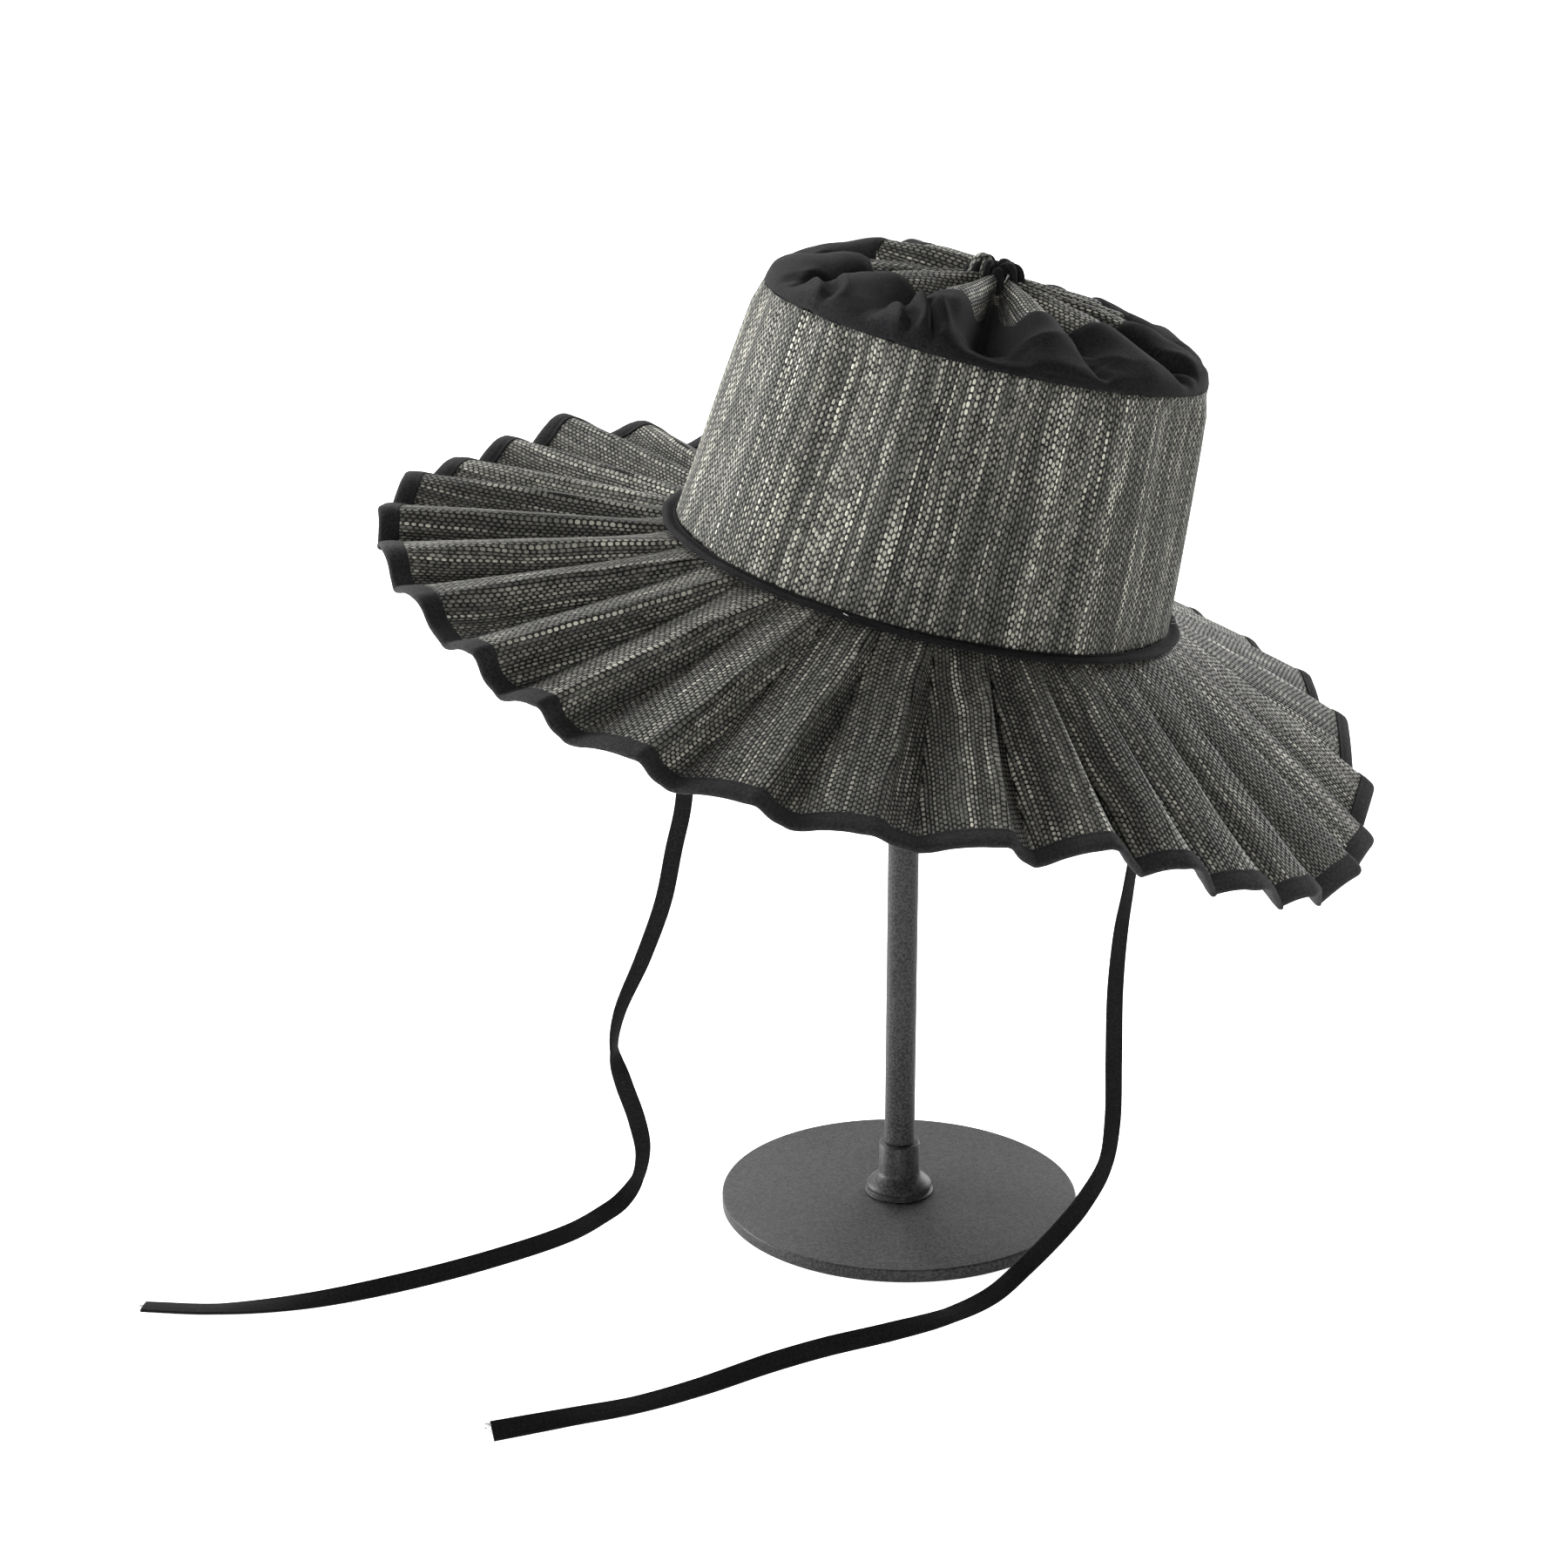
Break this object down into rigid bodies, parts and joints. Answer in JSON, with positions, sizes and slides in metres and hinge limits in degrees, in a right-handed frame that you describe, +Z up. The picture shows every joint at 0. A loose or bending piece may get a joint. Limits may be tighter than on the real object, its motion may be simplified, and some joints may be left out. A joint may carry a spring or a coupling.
{
  "type": "pleated straw sun hat on a display stand",
  "caption": "Dark straw sun hat with a pleated brim, gathered crown top, black bindings and long flat ties, shown on a plain display stand with a round foot.",
  "frame": {"origin": "middle of the underside of the stand's round foot, on the floor", "axes": "+Z up along the stand's pole, -Y towards the viewer of the picture, +X to the viewer's right, the side to which the hat leans down"},
  "size_m": [0.4447, 0.3849, 0.3636],
  "materials": {
    "straw": "woven dark straw with pale flecks",
    "black_cloth": "matte cotton cloth",
    "stand_paint": "fine-texture black powder coat",
    "head_plastic": "matte"
  },
  "bodies": {
    "root": {"stand_base": "stand_paint", "stand_boss": "stand_paint", "stand_pole": "stand_paint", "stand_head": "head_plastic", "crown_wall": "straw", "crown_band": "black_cloth", "crown_tip": "straw", "tip_binding": "black_cloth", "seam_binding": "black_cloth", "brim": "straw", "brim_binding": "black_cloth", "tie_left": "black_cloth", "tie_right": "black_cloth"}
  },
  "joints": []
}
